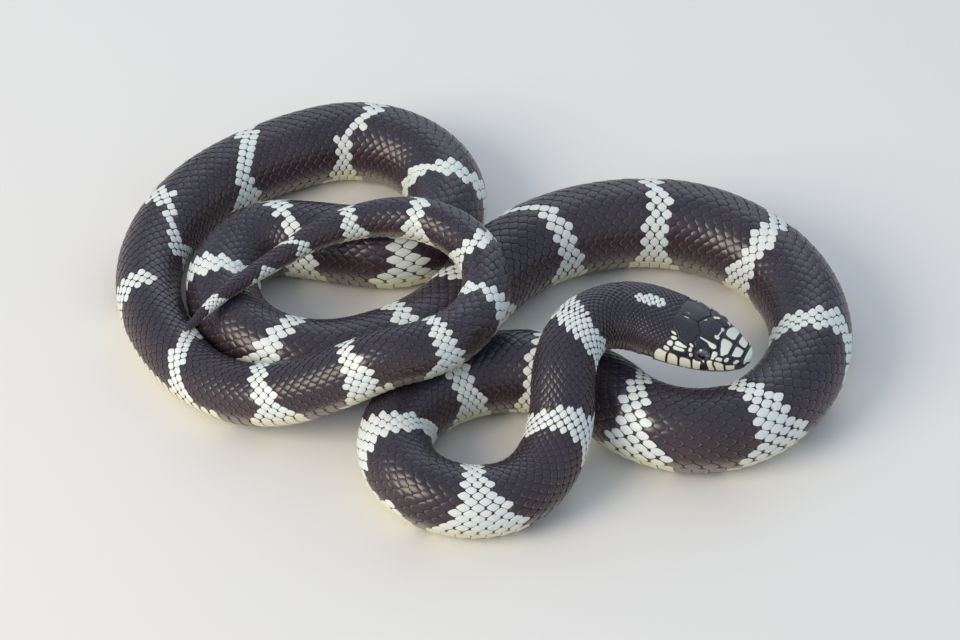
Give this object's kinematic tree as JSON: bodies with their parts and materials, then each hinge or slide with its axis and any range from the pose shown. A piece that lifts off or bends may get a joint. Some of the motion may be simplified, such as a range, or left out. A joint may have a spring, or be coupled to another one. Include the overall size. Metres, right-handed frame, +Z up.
{
  "type": "coiled california kingsnake",
  "caption": "Life-size still model of a banded kingsnake lying in loose coils on its belly, head raised over its own body, dark brown with white bands.",
  "frame": {"origin": "on the floor, under the middle of the coils", "axes": "+Z up; +X across the coils, towards the side where the head lies; +Y away from the side that is seen most, towards the back of the coils"},
  "size_m": [0.1984, 0.1631, 0.0385],
  "materials": {
    "scales": "smooth glossy scales, dark brown with white bands",
    "head_scales": "glossy head plates, black with cream patches",
    "lip_scales": "smooth cream chin and lip plates with dark seams",
    "eye": "glossy clear cap over a dark iris and round pupil"
  },
  "bodies": {
    "root": {"head": "head_scales", "lower_jaw": "lip_scales", "eye_right": "eye", "eye_left": "eye", "neck_01": "scales", "neck_02": "scales", "trunk_01": "scales", "trunk_02": "scales", "trunk_03": "scales", "trunk_04": "scales", "trunk_05": "scales", "trunk_06": "scales", "trunk_07": "scales", "trunk_08": "scales", "trunk_09": "scales", "trunk_10": "scales", "trunk_11": "scales", "trunk_12": "scales", "trunk_13": "scales", "trunk_14": "scales", "trunk_15": "scales", "trunk_16": "scales", "tail_01": "scales", "tail_02": "scales", "tail_03": "scales"}
  },
  "joints": []
}
